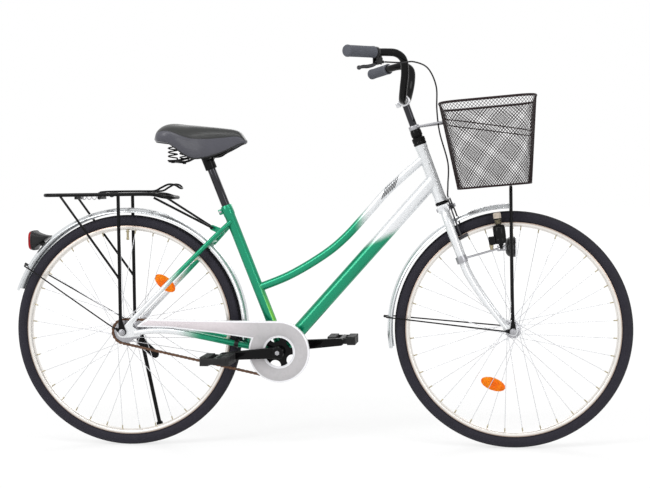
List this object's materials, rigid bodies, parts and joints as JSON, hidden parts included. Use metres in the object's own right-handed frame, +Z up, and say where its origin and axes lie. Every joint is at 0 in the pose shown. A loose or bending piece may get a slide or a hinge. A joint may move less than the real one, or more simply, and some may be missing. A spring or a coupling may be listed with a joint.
{
  "type": "city bicycle",
  "caption": "Step-through city bicycle with a basket, rear rack, fenders, chain guard, side stand, rim brake, dynamo lamp and sprung saddle.",
  "frame": {"origin": "on the ground, midway between the two axles and on the bicycle's middle plane", "axes": "+X forward along the bicycle, +Y to the rider's left, +Z up"},
  "size_m": [1.852, 0.6262, 1.1577],
  "materials": {
    "frame_green": "gloss green paint fading to white; hollow steel tube stood in by solid aluminium weight",
    "silver_paint": "gloss silver white paint",
    "fork_paint": "gloss silver white paint over tube",
    "black_paint": "gloss black paint",
    "black_tube": "gloss black paint over tube",
    "chrome": "polished",
    "chrome_tube": "polished tube",
    "alloy": "satin rim",
    "steel": "plated",
    "tyre": "fine ribbed tread",
    "grip": "soft grip",
    "vinyl": "grained vinyl",
    "basket_wire": "black coated wire mesh, weight of an open mesh",
    "lilac": "pale lilac grey",
    "black_plastic": "moulded",
    "cream": "moulded",
    "dynamo_case": "black coated",
    "orange": "prismatic reflector",
    "red_lens": "clear red",
    "clear_lens": "clear",
    "chain_steel": "oiled"
  },
  "bodies": {
    "bike": {"frame": "frame_green", "seat_bolt": "steel", "bottom_bracket_cartridge": "steel", "upper_headset_cup": "steel", "lower_headset_cup": "steel", "rear_fender": "silver_paint", "rear_fender_stay": "black_paint", "rack": "black_paint", "rack_strut": "black_paint", "rack_clamp_spring": "steel", "tail_light_housing": "black_plastic", "tail_light_lens": "red_lens", "chain_guard": "lilac", "chain": "chain_steel", "rear_axle": "steel", "coaster_arm": "steel", "stand_bracket": "black_paint"},
    "rack_clamp": {"rack_clamp": "black_paint"},
    "side_stand": {"side_stand_leg": "black_paint"},
    "steering": {"fork": "fork_paint", "headset_nut": "black_paint", "stem": "chrome", "handlebar": "black_tube", "grip_right": "grip", "grip_left": "grip", "brake_lever_perch": "black_plastic", "brake_cable": "black_plastic", "caliper_bolt": "steel", "front_fender": "silver_paint", "front_fender_stay": "black_paint", "basket": "basket_wire", "basket_stay": "black_paint", "basket_bracket": "steel", "dynamo_bracket": "steel", "headlight_housing": "black_plastic", "headlight_lens": "clear_lens", "front_axle": "steel"},
    "brake_lever": {"brake_lever": "steel"},
    "caliper_right": {"caliper_arm_right": "steel"},
    "caliper_left": {"caliper_arm_left": "steel"},
    "front_wheel": {"front_tyre": "tyre", "front_rim": "alloy", "front_hub": "steel", "front_reflector": "orange"},
    "rear_wheel": {"rear_tyre": "tyre", "rear_rim": "alloy", "rear_hub": "steel", "rear_reflector": "orange"},
    "crank": {"crankset_right": "black_paint", "crank_left": "black_paint"},
    "pedal_right": {"pedal_right": "black_plastic"},
    "pedal_left": {"pedal_left": "black_plastic"},
    "sprocket": {"rear_sprocket": "steel"},
    "seat": {"seat_post": "chrome_tube", "saddle_frame": "black_paint", "saddle": "vinyl", "saddle_spring_left": "steel", "saddle_spring_right": "steel"},
    "dynamo": {"dynamo_body": "dynamo_case"},
    "dynamo_roller": {"dynamo_roller": "cream"}
  },
  "joints": [
    {"name": "steering", "type": "hinge", "parent": "bike", "child": "steering", "pos_m": [0.50586, 0, 0.348], "axis": [-0.3338, 0, 0.9426], "range_deg": [-60, 60]},
    {"name": "front_wheel_spin", "type": "hinge", "parent": "steering", "child": "front_wheel", "pos_m": [0.578, 0, 0.348], "axis": [0, 1, 0], "continuous": true},
    {"name": "rear_wheel_spin", "type": "hinge", "parent": "bike", "child": "rear_wheel", "pos_m": [-0.578, 0, 0.348], "axis": [0, 1, 0], "continuous": true},
    {"name": "crank_spin", "type": "hinge", "parent": "bike", "child": "crank", "pos_m": [-0.108, 0, 0.289], "axis": [0, 1, 0], "continuous": true},
    {"name": "sprocket_spin", "type": "hinge", "parent": "bike", "child": "sprocket", "pos_m": [-0.578, 0, 0.348], "axis": [0, 1, 0], "continuous": true},
    {"name": "pedal_right_spin", "type": "hinge", "parent": "crank", "child": "pedal_right", "pos_m": [-0.2726, -0.133, 0.27749], "axis": [0, 1, 0], "continuous": true},
    {"name": "pedal_left_spin", "type": "hinge", "parent": "crank", "child": "pedal_left", "pos_m": [0.0566, 0.133, 0.30051], "axis": [0, 1, 0], "continuous": true},
    {"name": "side_stand_fold", "type": "hinge", "parent": "bike", "child": "side_stand", "pos_m": [-0.566, 0.0739, 0.3], "axis": [-0.0989, 0.9892, 0.1078], "range_deg": [0, 92]},
    {"name": "brake_lever_pull", "type": "hinge", "parent": "steering", "child": "brake_lever", "pos_m": [0.20875, -0.20291, 1.11416], "axis": [-0.8188, 0.574, 0], "range_deg": [0, 14], "stiffness_Nm_per_rad": 1},
    {"name": "caliper_right_close", "type": "hinge", "parent": "steering", "child": "caliper_right", "pos_m": [0.39707, 0, 0.71064], "axis": [0.9426, 0, 0.3338], "range_deg": [0, 1.05]},
    {"name": "caliper_left_close", "type": "hinge", "parent": "steering", "child": "caliper_left", "pos_m": [0.39707, 0, 0.71064], "axis": [-0.9426, 0, -0.3338], "range_deg": [0, 1.05]},
    {"name": "seat_height", "type": "slide", "parent": "bike", "child": "seat", "axis": [-0.3584, 0, 0.9336], "range_m": [-0.07, 0.05]},
    {"name": "dynamo_swing", "type": "hinge", "parent": "steering", "child": "dynamo", "pos_m": [0.54674, -0.038, 0.59201], "axis": [-0.9919, 0, -0.1271], "range_deg": [0, 5]},
    {"name": "dynamo_roller_spin", "type": "hinge", "parent": "dynamo", "child": "dynamo_roller", "pos_m": [0.53531, -0.038, 0.68128], "axis": [-0.1271, 0, 0.9919], "continuous": true},
    {"name": "rack_clamp_lift", "type": "hinge", "parent": "bike", "child": "rack_clamp", "pos_m": [-0.643, 0, 0.758], "axis": [0, -1, 0], "range_deg": [0, 17], "stiffness_Nm_per_rad": 2}
  ],
  "couplings": [
    {"joint": "sprocket_spin", "follows": "crank_spin", "ratio": 2.2222},
    {"joint": "caliper_right_close", "follows": "brake_lever_pull", "ratio": 0.0714},
    {"joint": "caliper_left_close", "follows": "brake_lever_pull", "ratio": 0.0714}
  ]
}
